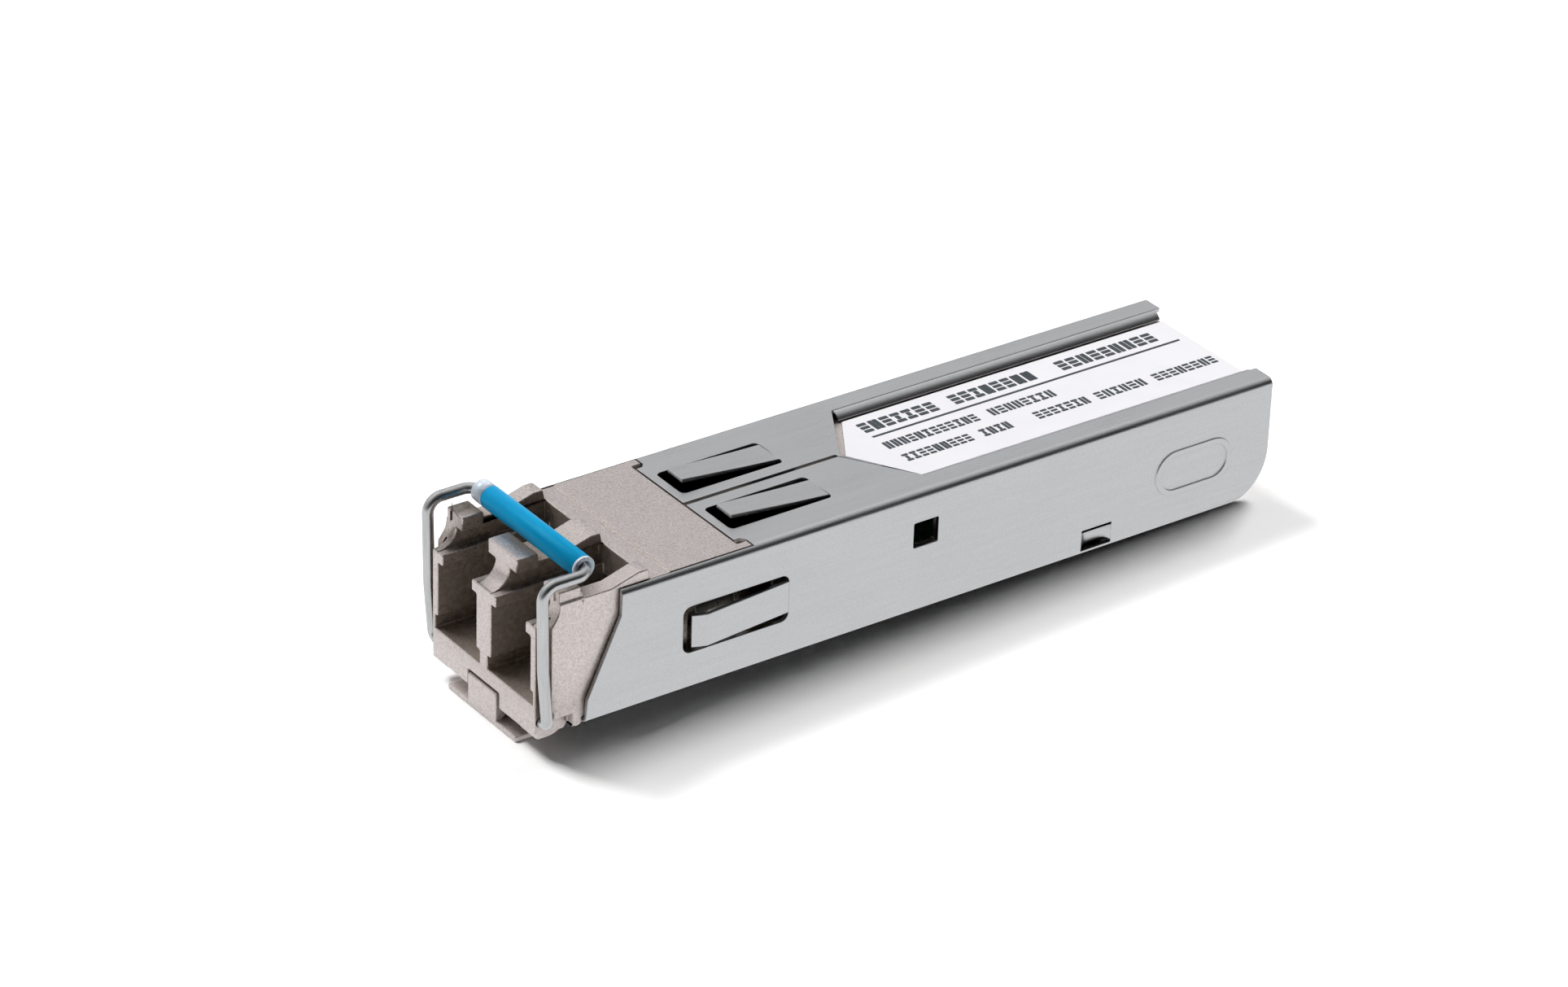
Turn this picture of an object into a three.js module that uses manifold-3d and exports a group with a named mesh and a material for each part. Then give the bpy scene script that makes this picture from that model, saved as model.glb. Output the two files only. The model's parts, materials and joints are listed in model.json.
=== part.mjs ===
// Optical transceiver module: a small pluggable duplex unit with a hinged wire bail.
// Millimetres. +X runs from the nose to the board edge, +Y is one long side, +Z is the label side.
// Everything is drawn from a datum at the nose's front face, the mid plane and the cover's underside,
// then the whole group is moved so that its origin is the centre of the foot of its box.

import * as THREE from 'three';
import { mergeVertices } from 'three/addons/utils/BufferGeometryUtils.js';
import Module from 'manifold-3d';

const wasm = await Module();
wasm.setup();

// ---- driving dimensions ----

const rearX = 55.7; // board end of the cover
const coverHalfWidth = 6.7;
const coverTopZ = 8.5;
const sheet = 0.3; // cover sheet thickness
const fit = 0.07; // gap between the cover and what it wraps
const castHalfWidth = coverHalfWidth - sheet - fit;

const coverFrontX = 3.05; // foot of the cover's slanted front edge
const coverTopFrontX = 14.6;
const rearCornerRadius = 3.5;
const recessPointX = 26.3; // point of the label recess
const recessCornerX = 29.2;
const recessHalfWidth = 4.95;
const castRoofZ = 7.85; // casting under the label

const lipTopZ = 1.64;
const lipBottomZ = -0.45;
const lipHalfWidth = 5.7;
const portInnerY = 0.8;
const portOuterY = 5.15;
const portMidY = (portInnerY + portOuterY) / 2;
const portMidZ = 4.0;
const portTopZ = 6.35;
const portDepthX = 9.5;
const shoulderTopZ = 7.1;
const headTopZ = 9.38;
const headUnderZ = 8.4;
const slotRearX = 7.75; // back wall of the keyways over the ports

const wireRadius = 0.37;
const legY = 6.35;
const legX = 0.05;
const crossbarX = 3.45;
const crossbarZ = 10.15;
const wireBend = 1.1;
const bailPivot = { x: 0.48, z: 0.5 };
const hingeRadius = 0.28;
const bailEndY = 4.35;
const sleeveRadius = 0.76;
const linerRadius = 0.66;

const latchPivot = { x: 5.6, z: 0.72 };
const latchPinRadius = 0.3;
const latchHubRadius = 0.52;
const leverHalfWidth = 1.55;
const latchShoulderX = rearX - 45.0;
const bossDepth = 0.45;
const bossLength = 2.3;
const bossHalfWidth = 1.3;

const boardUnderZ = 2.25;
const boardThickness = 1.0;
const boardTopZ = boardUnderZ + boardThickness;
const boardFrontX = 20.6;
const boardRearX = latchShoulderX + 41.8;
const boardHalfWidth = 5.2;
const tongueHalfWidth = 4.6;

const windowX = [10.0, 17.8]; // side spring window
const windowZ = [2.6, 5.8];
const topWindowX = [15.2, 22.8]; // top spring windows
const topWindowY = [1.1, 4.1];
const sightHoleX = [27.2, 29.1];
const sightHoleZ = [4.7, 6.45];
const strapX = [40.6, 43.0];

// ---- materials ----

function finish(color, roughness, metalness) {
  return new THREE.MeshStandardMaterial({ color, roughness, metalness });
}

const zinc = finish(0xc6bcb6, 0.5, 0.85);
const steelSheet = finish(0xb9bcbe, 0.32, 0.95);
const springSteel = finish(0xc9ccce, 0.22, 1.0);
const stainless = finish(0xb4b0a8, 0.3, 1.0);
const blueTube = finish(0x0a8cbe, 0.38, 0.0);
const clearTube = finish(0xb9c8d4, 0.3, 0.0);
const paper = finish(0xf6f4fa, 0.55, 0.0);
const boardGreen = finish(0x1f6b3a, 0.5, 0.0);
const goldCan = finish(0xc9a24c, 0.3, 1.0);
const ceramic = finish(0xf1efe8, 0.3, 0.0);
const chipBlack = finish(0x1b1b1d, 0.5, 0.0);
const capTan = finish(0xa98b64, 0.5, 0.0);
const resistorBlack = finish(0x2a2a2c, 0.45, 0.0);
const flexAmber = finish(0xa8641c, 0.4, 0.0);
const padGrey = finish(0x8a9096, 0.85, 0.0);
const clipBlack = finish(0x26272a, 0.55, 0.0);

// ---- shape helpers ----

function toSolid(geometry) {
  geometry.deleteAttribute('normal');
  geometry.deleteAttribute('uv');
  const merged = mergeVertices(geometry, 1e-4);
  const mesh = new wasm.Mesh({
    numProp: 3,
    vertProperties: new Float32Array(merged.attributes.position.array),
    triVerts: new Uint32Array(merged.index.array),
  });
  return new wasm.Manifold(mesh);
}

function toGeometry(solid) {
  const { vertProperties, triVerts, numProp } = solid.getMesh();
  const positions = new Float32Array((vertProperties.length / numProp) * 3);
  for (let i = 0; i < positions.length / 3; i += 1) {
    for (let k = 0; k < 3; k += 1) {
      positions[3 * i + k] = vertProperties[numProp * i + k];
    }
  }
  const geometry = new THREE.BufferGeometry();
  geometry.setAttribute('position', new THREE.BufferAttribute(positions, 3));
  geometry.setIndex(new THREE.BufferAttribute(new Uint32Array(triVerts), 1));
  geometry.computeVertexNormals();
  return geometry;
}

// Where a drawn outline's two axes and its thickness point, for each drawing plane.
const planes = {
  xz: [[1, 0, 0], [0, 0, 1], [0, -1, 0]],
  xy: [[1, 0, 0], [0, 1, 0], [0, 0, 1]],
  yz: [[0, 1, 0], [0, 0, 1], [1, 0, 0]],
};

function outline(points) {
  return new THREE.Shape(points.map(([u, v]) => new THREE.Vector2(u, v)));
}

// Extrudes a flat shape drawn in one plane, from low to high along the third axis.
function slab(plane, shape, low, high, curveSegments = 10) {
  const drawn = Array.isArray(shape) ? outline(shape) : shape;
  const depth = high - low;
  const geometry = new THREE.ExtrudeGeometry(drawn, { depth, bevelEnabled: false, curveSegments });
  geometry.translate(0, 0, plane === 'xz' ? -high : low);
  const [u, v, w] = planes[plane].map((axis) => new THREE.Vector3(...axis));
  geometry.applyMatrix4(new THREE.Matrix4().makeBasis(u, v, w));
  return toSolid(geometry);
}

function block(x, y, z) {
  const geometry = new THREE.BoxGeometry(x[1] - x[0], y[1] - y[0], z[1] - z[0]);
  geometry.translate((x[0] + x[1]) / 2, (y[0] + y[1]) / 2, (z[0] + z[1]) / 2);
  return toSolid(geometry);
}

// A round bar along X or Y.
function bar(axis, radius, span, [a, b], sides = 28) {
  const geometry = new THREE.CylinderGeometry(radius, radius, span[1] - span[0], sides);
  const middle = (span[0] + span[1]) / 2;
  if (axis === 'x') {
    geometry.rotateZ(Math.PI / 2);
    geometry.translate(middle, a, b);
  } else {
    geometry.translate(a, middle, b);
  }
  return toSolid(geometry);
}

function roundedRect(u, v, radius) {
  const shape = new THREE.Shape();
  shape.moveTo(u[0] + radius, v[0]);
  shape.lineTo(u[1] - radius, v[0]);
  shape.absarc(u[1] - radius, v[0] + radius, radius, -Math.PI / 2, 0);
  shape.lineTo(u[1], v[1] - radius);
  shape.absarc(u[1] - radius, v[1] - radius, radius, 0, Math.PI / 2);
  shape.lineTo(u[0] + radius, v[1]);
  shape.absarc(u[0] + radius, v[1] - radius, radius, Math.PI / 2, Math.PI);
  shape.lineTo(u[0], v[0] + radius);
  shape.absarc(u[0] + radius, v[0] + radius, radius, Math.PI, Math.PI * 1.5);
  return shape;
}

// A strip of constant thickness that follows a smooth line through the given points. It has a step
// wherever the line has turned enough, so that straight stretches stay single faces.
function ribbon(points, thickness, divisions = 16) {
  const line = new THREE.SplineCurve(points.map(([u, v]) => new THREE.Vector2(u, v)));
  const leastTurn = 0.035;
  const left = [];
  const right = [];
  let heading = line.getTangentAt(0);
  for (let i = 0; i <= divisions; i += 1) {
    const at = line.getPointAt(i / divisions);
    const along = line.getTangentAt(i / divisions);
    const isEnd = i === 0 || i === divisions;
    if (isEnd || along.angleTo(heading) > leastTurn) {
      const side = new THREE.Vector2(-along.y, along.x).multiplyScalar(thickness / 2);
      left.push([at.x + side.x, at.y + side.y]);
      right.push([at.x - side.x, at.y - side.y]);
      heading = along;
    }
  }
  return [...right, ...left.reverse()];
}

function join(solids) {
  return solids.reduce((whole, next) => whole.add(next));
}

function cut(solid, tools) {
  return tools.reduce((left, tool) => left.subtract(tool), solid);
}

function bothSides(build) {
  return [build(1), build(-1)];
}

// The same span on the +Y side or mirrored to the -Y side.
function across(side, near, far) {
  return side > 0 ? [near, far] : [-far, -near];
}

function piece(name, solid, material) {
  const mesh = new THREE.Mesh(toGeometry(solid), material);
  mesh.name = name;
  return mesh;
}

// ---- nose and main casting ----

// Side view of the nose block: concave scoop, catch head, trough for the sleeve, saddle, top plate.
function noseProfile() {
  const shape = new THREE.Shape();
  const scoop = 1.35;
  shape.moveTo(0, lipBottomZ);
  shape.lineTo(2.1, lipBottomZ);
  shape.lineTo(2.4, 0);
  shape.lineTo(coverFrontX - 0.1, 0);
  shape.lineTo(coverFrontX - 0.1, sheet + fit);
  shape.lineTo(14.5, sheet + fit);
  shape.lineTo(14.5, coverTopZ);
  shape.lineTo(9.2, coverTopZ);
  shape.lineTo(9.2, coverTopZ - 0.07);
  shape.lineTo(slotRearX, coverTopZ - 0.07);
  shape.lineTo(7.6, 9.15);
  shape.lineTo(6.9, 9.15);
  shape.lineTo(5.0, 8.6);
  shape.lineTo(3.0, 8.6);
  shape.lineTo(2.85, headTopZ);
  shape.lineTo(scoop, headTopZ);
  shape.lineTo(scoop, shoulderTopZ + scoop);
  shape.absarc(0, shoulderTopZ + scoop, scoop, 0, -Math.PI / 2, true);
  return shape;
}

// Region in front of the nose's outer side faces, where the bail's legs lie.
function legRelief() {
  const shape = new THREE.Shape();
  shape.moveTo(-1, -1.2);
  shape.lineTo(2.35, -1.2);
  shape.lineTo(2.35, 0.78);
  shape.lineTo(0.95, 0.78);
  shape.lineTo(0.95, 1.2);
  shape.lineTo(0.75, 1.4);
  shape.lineTo(0.75, 7.2);
  shape.quadraticCurveTo(1.3, 7.8, 1.36, 8.62);
  shape.lineTo(1.36, 9.6);
  shape.lineTo(-1, 9.6);
  return shape;
}

function portCuts(side) {
  const key = (x, near, far, z) => block(x, across(side, near, far), z);
  return [
    key([-1, portDepthX], portInnerY, portOuterY, [2.55, portTopZ]),
    key([-1, 3.2], 0.42, 5.45, [lipTopZ, 2.6]),
    key([3.1, portDepthX], portInnerY, portOuterY, [lipTopZ, 2.6]),
    key([-1, slotRearX], 1.32, 4.6, [portTopZ - 0.1, shoulderTopZ + 0.1]),
    key([-1, slotRearX], portInnerY, portOuterY, [shoulderTopZ, headUnderZ]),
    key([-1, 3.0], 1.6, 4.45, [headUnderZ - 0.1, 10]),
    key([2.9, slotRearX], 1.2, 5.1, [headUnderZ - 0.1, 10]),
    bar('x', 1.75, [portDepthX - 0.5, 11.6], [side * portMidY, portMidZ]),
  ];
}

// The cheek under each front corner, rounded at its back, that carries the bail's hinge end.
function cheek(side) {
  const shape = new THREE.Shape();
  const radius = 1.45;
  shape.moveTo(0, lipTopZ - 0.2);
  shape.lineTo(0, -0.45);
  shape.lineTo(0.25, -0.7);
  shape.absarc(0.95, 0.75, radius, -Math.PI / 2, 0);
  shape.lineTo(0.95 + radius, lipTopZ - 0.2);
  return slab('xz', shape, ...across(side, 4.15, lipHalfWidth), 12);
}

// Side view that the casting and tray stay inside, short of the cover's rear corner.
function innerSilhouette() {
  const end = rearX - 0.3;
  const radius = rearCornerRadius;
  const shape = new THREE.Shape();
  shape.moveTo(-2, -3);
  shape.lineTo(3, -3);
  shape.lineTo(3, 0);
  shape.lineTo(14.3, 0);
  shape.lineTo(14.3, 0.36);
  shape.lineTo(end - radius, 0.36);
  shape.absarc(end - radius, 0.36 + radius, radius, -Math.PI / 2, 0);
  shape.lineTo(end, 12);
  shape.lineTo(-2, 12);
  return slab('xz', shape, -10, 10, 14);
}

function mainCasting() {
  const halfBay = 5.85;
  const body = join([
    slab('xz', noseProfile(), -castHalfWidth, castHalfWidth, 14),
    block([14.4, 26.0], [-castHalfWidth, castHalfWidth], [6.95, 8.1]),
    ...bothSides((side) => block([14.4, 15.2], across(side, 5.7, castHalfWidth), [7, coverTopZ])),
    block([25.9, 56], [-castHalfWidth, castHalfWidth], [6.95, castRoofZ]),
    ...bothSides((side) => block([14.4, 56], across(side, 5.4, castHalfWidth), [2.4, 7.0])),
    ...bothSides(cheek),
    ...bothSides((side) => bar('y', 0.36, across(side, 4.3, castHalfWidth), [2.62, 0.18], 18)),
  ]);
  const cuts = [
    ...bothSides((side) => slab('xz', legRelief(), ...across(side, lipHalfWidth, 8))),
    ...bothSides(portCuts).flat(),
    // half heads stop short of the bail's side wires
    ...bothSides((side) => block([1, 2.9], across(side, 6.2, 8), [8.62, 10])),
    // bay for the optical units, open below
    block([11.0, 17.2], [-halfBay, halfBay], [-1, 6.95]),
    // pocket for the latch lever, with its narrower mouth in the front lip
    block([-1, 1.05], [-1.75, 1.75], [-2, 0.62]),
    block([1.0, 14], [-1.75, 1.75], [-2, 1.32]),
    // holes for the bail's hinge ends and for the lever's pin
    ...bothSides((side) => (
      bar('y', hingeRadius + 0.04, across(side, bailEndY - 0.15, 7), [bailPivot.x, bailPivot.z])
    )),
    bar('y', latchPinRadius + 0.04, [-2.6, 2.6], [latchPivot.x, latchPivot.z]),
    // room behind the side and top springs and the sight hole
    ...bothSides((side) => block([9.6, 18.2], across(side, 5.75, 8), [2.2, 6.2])),
    ...bothSides((side) => block([14.7, 23.2], across(side, 0.9, 4.3), [7.5, 9])),
    ...bothSides((side) => block([26.7, 29.6], across(side, 5, 8), [4.2, 6.9])),
    // room for the pressed straps
    ...bothSides((side) => block([40.0, 43.6], across(side, 5.7, 8), [1, 3])),
    // taller mouth for the host connector
    block([47.5, 57], [-5.4, 5.4], [6.9, 7.5]),
  ];
  return cut(body, cuts).intersect(innerSilhouette());
}

function lowerTray() {
  const floor = block([14.6, 56], [-castHalfWidth, castHalfWidth], [0.38, 0.9]);
  const walls = bothSides((side) => block([14.6, 56], across(side, 5.55, castHalfWidth), [0.8, 2.2]));
  const ledges = [[21.5, 25], [33, 36], [44, 47]].flatMap((x) => (
    bothSides((side) => block(x, across(side, 4.7, 5.7), [0.8, boardUnderZ - 0.08]))
  ));
  const straps = bothSides((side) => block([40.0, 43.6], across(side, 5.7, 8), [0.3, 3]));
  return cut(join([floor, ...walls, ...ledges]), straps).intersect(innerSilhouette());
}

// ---- sheet cover ----

function coverSilhouette() {
  const shape = new THREE.Shape();
  const radius = rearCornerRadius;
  shape.moveTo(coverFrontX, -1);
  shape.lineTo(coverFrontX, 0);
  shape.lineTo(3.14, 1.6);
  shape.lineTo(5.5, 6.7);
  shape.lineTo(5.55, 10);
  shape.lineTo(rearX, 10);
  shape.lineTo(rearX, radius);
  shape.absarc(rearX - radius, radius, radius, 0, -Math.PI / 2, true);
  shape.lineTo(rearX - radius, -1);
  return slab('xz', shape, -10, 10, 16);
}

// A top spring: level with the sheet at its root, rising and narrowing towards its tip.
function topSpring(side) {
  const line = ribbon([[23.3, 8.352], [22.7, 8.352], [20.5, 8.5], [17.6, 8.76], [15.65, 8.9]], 0.28);
  const plan = outline([[15.5, 1.85], [22.8, 1.58], [24, 1.58], [24, 3.76], [22.8, 3.76], [15.5, 3.42]]
    .map(([x, y]) => [x, side * y]));
  return slab('xz', line, ...across(side, 1.5, 3.8)).intersect(slab('xy', plan, 8, 9.5));
}

// A side spring: level with the sheet at its root, bulging outward, its tip leaning back in.
function sideSpring(side) {
  const line = ribbon([[18.3, 6.548], [17.7, 6.548], [14.6, 6.88], [12.0, 7.14], [11.4, 7.14], [10.5, 6.8]], 0.28);
  const placed = line.map(([x, y]) => [x, side * y]);
  return slab('xy', placed, 3.1, 5.3);
}

// The strap between two slits in each side, pressed inward to grip the tray.
function pressedStrap(side) {
  const y = (inward) => side * (coverHalfWidth - sheet / 2 - inward);
  const [front, back] = strapX;
  const line = ribbon([[front - 0.05, y(0)], [front + 0.55, y(0.3)], [back - 0.55, y(0.3)], [back + 0.05, y(0)]], 0.26);
  return slab('xy', line, 0.55, 1.65);
}

// The rail beside the label recess rolls down along its inner edge.
function rolledEdge(side) {
  const line = ribbon([[5.15, 8.36], [4.75, 8.3], [4.5, 8.1], [4.42, 7.95]], 0.26, 8);
  const placed = line.map(([y, z]) => [side * y, z]);
  return slab('yz', placed, recessCornerX + 0.1, rearX - 0.45);
}

// A long pressed bead with round ends, standing just proud of each side near the board end.
function pressedBead(side) {
  const bead = slab('xz', roundedRect([46.4, 52.6], [2.3, 5.5], 1.59), ...across(side, 6.6, 6.78));
  const inside = slab('xz', roundedRect([46.8, 52.2], [2.7, 5.1], 1.19), ...across(side, 6.5, 6.9));
  return bead.subtract(inside);
}

function sheetCover() {
  const skin = (inset, radius, x) => slab('yz', roundedRect(
    [-coverHalfWidth + inset, coverHalfWidth - inset],
    [inset, coverTopZ - inset],
    radius,
  ), ...x, 6);
  const frontOpening = outline([
    [-1, -6.4], [15.3, -6.4], [15.3, -5.6], [15.0, -5.25], [coverTopFrontX, -5.25],
    [coverTopFrontX, 5.25], [15.0, 5.25], [15.3, 5.6], [15.3, 6.4], [-1, 6.4],
  ]);
  const recess = outline([
    [recessPointX, 0], [recessCornerX, -recessHalfWidth], [60, -recessHalfWidth],
    [60, recessHalfWidth], [recessCornerX, recessHalfWidth],
  ]);
  const cuts = [
    skin(sheet, 0.2, [0, 60]),
    slab('xy', frontOpening, 7, 10),
    slab('xy', recess, 7, 10),
    // seam where the two halves of the top meet
    slab('xy', roundedRect([14, 26.1], [-0.15, 0.15], 0.14), 7, 10),
    ...bothSides((side) => slab('xy', roundedRect(topWindowX, across(side, ...topWindowY), 0.35), 7, 10)),
    ...bothSides((side) => slab('xz', roundedRect(windowX, windowZ, 0.55), ...across(side, 6, 8))),
    ...bothSides((side) => slab('xz', roundedRect(sightHoleX, sightHoleZ, 0.12), ...across(side, 6, 8))),
    ...bothSides((side) => block(strapX, across(side, 6, 8), [0.36, 1.84])),
    // slot for the latch lever in the underside
    slab('xy', roundedRect([0, 13.5], [-1.9, 1.9], 0.4), -1, 1),
  ];
  const added = [
    ...bothSides(topSpring),
    ...bothSides(sideSpring),
    ...bothSides(pressedStrap),
    ...bothSides(rolledEdge),
    ...bothSides(pressedBead),
  ];
  const sleeve = cut(skin(0, 0.5, [2.5, 56]).intersect(coverSilhouette()), cuts);
  return join([sleeve, ...added]);
}

function labelSheet() {
  const inset = 0.55;
  const shape = outline([
    [recessPointX + inset + 0.1, 0.25], [recessPointX + inset + 0.1, -0.25],
    [recessCornerX + 0.25, -4.15], [rearX - 0.35, -4.15],
    [rearX - 0.35, 4.15], [recessCornerX + 0.25, 4.15],
  ]);
  return slab('xy', shape, castRoofZ + 0.03, castRoofZ + 0.13);
}

// ---- bail ----

function bailRoute() {
  const path = new THREE.CurvePath();
  const corner = 0.6;
  const half = [
    [bailPivot.x, legY - corner, bailPivot.z],
    [bailPivot.x, legY, bailPivot.z],
    [bailPivot.x - 0.14, legY, bailPivot.z + corner],
    [legX + 0.1, legY, 4.4],
    [legX, legY, crossbarZ - wireBend],
    [legX, legY, crossbarZ],
    [legX + wireBend, legY, crossbarZ],
    [crossbarX - wireBend, legY, crossbarZ],
    [crossbarX, legY, crossbarZ],
    [crossbarX, legY - wireBend, crossbarZ],
  ].map((p) => new THREE.Vector3(...p));
  const mirrored = half.map((p) => new THREE.Vector3(p.x, -p.y, p.z)).reverse();
  const line = (a, b) => path.add(new THREE.LineCurve3(a, b));
  const bend = (a, b, c) => path.add(new THREE.QuadraticBezierCurve3(a, b, c));
  bend(half[0], half[1], half[2]);
  line(half[2], half[3]);
  line(half[3], half[4]);
  bend(half[4], half[5], half[6]);
  line(half[6], half[7]);
  bend(half[7], half[8], half[9]);
  line(half[9], mirrored[0]);
  bend(mirrored[0], mirrored[1], mirrored[2]);
  line(mirrored[2], mirrored[3]);
  bend(mirrored[3], mirrored[4], mirrored[5]);
  line(mirrored[5], mirrored[6]);
  line(mirrored[6], mirrored[7]);
  bend(mirrored[7], mirrored[8], mirrored[9]);
  return path;
}

function bailWire() {
  const section = new THREE.Shape();
  section.absarc(0, 0, wireRadius, 0, Math.PI * 2);
  const extrudePath = bailRoute();
  const geometry = new THREE.ExtrudeGeometry(section, { steps: 110, curveSegments: 6, extrudePath });
  // hinge ends, turned down where they enter the cheeks
  const ends = bothSides((side) => (
    bar('y', hingeRadius, across(side, bailEndY, legY - 0.5), [bailPivot.x, bailPivot.z], 18)
  ));
  return join([toSolid(geometry), ...ends]);
}

function tube(outer, inner, y) {
  const wall = bar('y', outer, y, [crossbarX, crossbarZ], 32);
  const hole = bar('y', inner, [y[0] - 1, y[1] + 1], [crossbarX, crossbarZ], 32);
  return wall.subtract(hole);
}

// ---- latch ----

function latchLever() {
  const beam = outline([
    [-0.1, -1.6], [-0.1, 0.45], [0.35, 0.45], [0.35, -0.3], [1.6, -0.3],
    [2.2, 0.35], [4.4, 0.8], [6.8, 0.8], [7.8, 0.45], [13.0, 0.45],
    [13.0, 0.02], [2.6, 0.02], [2.2, -0.95], [0.95, -0.95], [0.2, -1.6],
  ]);
  const pullLip = outline([
    [-0.1, -1.42], [-0.1, -1.78], [1.1, -1.78], [2.2, -1.1], [2.2, -0.62], [1.05, -1.42],
  ]);
  const boss = outline([
    [latchShoulderX, -bossHalfWidth], [latchShoulderX + bossLength, -0.25],
    [latchShoulderX + bossLength, 0.25], [latchShoulderX, bossHalfWidth],
  ]);
  const ramp = outline([
    [latchShoulderX - 1, 1], [latchShoulderX - 1, -bossDepth], [latchShoulderX + 0.3, -bossDepth],
    [latchShoulderX + bossLength, 0.0], [latchShoulderX + bossLength, 1],
  ]);
  const whole = join([
    slab('xz', beam, -leverHalfWidth, leverHalfWidth),
    slab('xz', pullLip, -3.75, 3.75),
    bar('y', latchHubRadius, [-leverHalfWidth, leverHalfWidth], [latchPivot.x, latchPivot.z]),
    slab('xy', boss, -1, 0.2).intersect(slab('xz', ramp, -2, 2)),
  ]);
  return whole.subtract(bar('y', latchPinRadius + 0.07, [-3, 3], [latchPivot.x, latchPivot.z]));
}

function latchSpring() {
  const leaf = ribbon([[8.4, 1.1], [9.6, 0.98], [11.2, 0.66], [12.4, 0.64], [12.9, 0.78]], 0.12);
  return slab('xz', leaf, -1.1, 1.1);
}

// ---- optical units and board ----

const unitX = { mouth: 5.9, flange: 11.75, can: 12.75, canRear: 16.3 };

function turned(profile, side, sides = 32) {
  const points = profile.map(([x, radius]) => new THREE.Vector2(radius, x));
  const geometry = new THREE.LatheGeometry(points, sides);
  geometry.rotateZ(-Math.PI / 2);
  geometry.translate(0, side * portMidY, portMidZ);
  return toSolid(geometry);
}

// The receptacle of one optical unit, a stepped tube that a fibre ferrule enters.
function receptacle(side) {
  const { mouth, flange, can } = unitX;
  return turned([
    [mouth, 1.08], [mouth, 1.4], [mouth + 0.15, 1.55], [flange, 1.55], [flange, 2.5],
    [can - 0.05, 2.5], [can - 0.05, 0.4], [mouth + 4.9, 0.4], [mouth + 4.9, 1.08], [mouth, 1.08],
  ], side);
}

function ferruleSleeve(side) {
  const [front, back] = [unitX.mouth + 0.4, unitX.mouth + 4.7];
  return turned([
    [front, 0.63], [front, 1.02], [back, 1.02], [back, 0.63], [front, 0.63],
  ], side, 24);
}

function opticalCan(side, radius, length) {
  const { can } = unitX;
  return turned([
    [can, 0], [can, radius - 0.5], [can + 0.4, radius - 0.4], [can + length - 0.9, radius - 0.4],
    [can + length - 0.9, radius], [can + length, radius], [can + length, 0],
  ], side);
}

// A flexible strip from one can's header down to the board's top face.
function flexStrip(side, canLength) {
  const start = unitX.can + canLength + 0.12;
  const line = ribbon([
    [start, 5.9], [start, 4.4], [start + 0.5, 3.75], [boardFrontX + 0.4, 3.42], [boardFrontX + 2.6, 3.42],
  ], 0.12, 20);
  return slab('xz', line, side * portMidY - 1.6, side * portMidY + 1.6);
}

// A bar across the casting, behind both units, that stops them sliding back.
function opticsClip() {
  return block([16.9, 17.9], [-5.35, 5.35], [4.9, 6.9]);
}

function circuitBoard() {
  const shape = outline([
    [boardFrontX, -boardHalfWidth], [46.8, -boardHalfWidth], [47.6, -tongueHalfWidth],
    [boardRearX - 0.4, -tongueHalfWidth], [boardRearX, -tongueHalfWidth + 0.4],
    [boardRearX, tongueHalfWidth - 0.4], [boardRearX - 0.4, tongueHalfWidth],
    [47.6, tongueHalfWidth], [46.8, boardHalfWidth], [boardFrontX, boardHalfWidth],
  ]);
  return slab('xy', shape, boardUnderZ, boardTopZ);
}

function chip(x, y, height, clearance = 0.04) {
  return block(x, y, [boardTopZ + clearance, boardTopZ + clearance + height]);
}

// Small parts soldered on the board's top face, named by kind and place.
function surfaceMounts(kind, places, [length, width, height], material) {
  return places.map(([x, y], i) => (
    piece(`${kind}_${i + 1}`, chip([x, x + length], [y, y + width], height), material)
  ));
}

const capacitorPlaces = [[24.0, -4.4], [24.0, 3.4], [31.9, -4.4], [31.9, 3.6], [38.4, -4.4], [38.4, 3.6]];
const resistorPlaces = [[26.0, -4.5], [26.0, 3.9], [34.4, -4.5], [34.4, 3.9]];

// ---- assembly ----

const module = new THREE.Group();
const parts = [
  piece('nose_casting', mainCasting(), zinc),
  piece('lower_tray', lowerTray(), zinc),
  piece('sheet_cover', sheetCover(), steelSheet),
  piece('label', labelSheet(), paper),
  piece('bail_wire', bailWire(), springSteel),
  piece('bail_sleeve', tube(sleeveRadius, linerRadius + 0.03, [-5.45, 4.6]), blueTube),
  piece('sleeve_liner', tube(linerRadius, wireRadius + 0.09, [-5.7, 5.7]), clearTube),
  piece('latch_lever', latchLever(), zinc),
  piece('latch_pin', bar('y', latchPinRadius, [-2.5, 2.5], [latchPivot.x, latchPivot.z]), stainless),
  piece('latch_spring', latchSpring(), springSteel),
  piece('transmitter_receptacle', receptacle(1), stainless),
  piece('receiver_receptacle', receptacle(-1), stainless),
  piece('transmitter_ferrule_sleeve', ferruleSleeve(1), ceramic),
  piece('receiver_ferrule_sleeve', ferruleSleeve(-1), ceramic),
  piece('transmitter_can', opticalCan(1, 2.8, 3.4), goldCan),
  piece('receiver_can', opticalCan(-1, 2.7, 2.9), stainless),
  piece('transmitter_flex', flexStrip(1, 3.4), flexAmber),
  piece('receiver_flex', flexStrip(-1, 2.9), flexAmber),
  piece('optics_clip', opticsClip(), clipBlack),
  piece('circuit_board', circuitBoard(), boardGreen),
  piece('laser_driver_chip', chip([26.6, 30.6], [-2.0, 2.0], 0.85), chipBlack),
  piece('receiver_amplifier_chip', chip([34.2, 37.2], [-1.5, 1.5], 0.8), chipBlack),
  piece('controller_chip', chip([40.4, 45.0], [-2.3, 2.3], 0.95), chipBlack),
  piece('thermal_pad', block([26.8, 30.4], [-1.8, 1.8], [4.2, 6.85]), padGrey),
  ...surfaceMounts('capacitor', capacitorPlaces, [1.6, 0.8, 0.8], capTan),
  ...surfaceMounts('resistor', resistorPlaces, [1.0, 0.5, 0.35], resistorBlack),
];
module.add(...parts);

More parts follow.
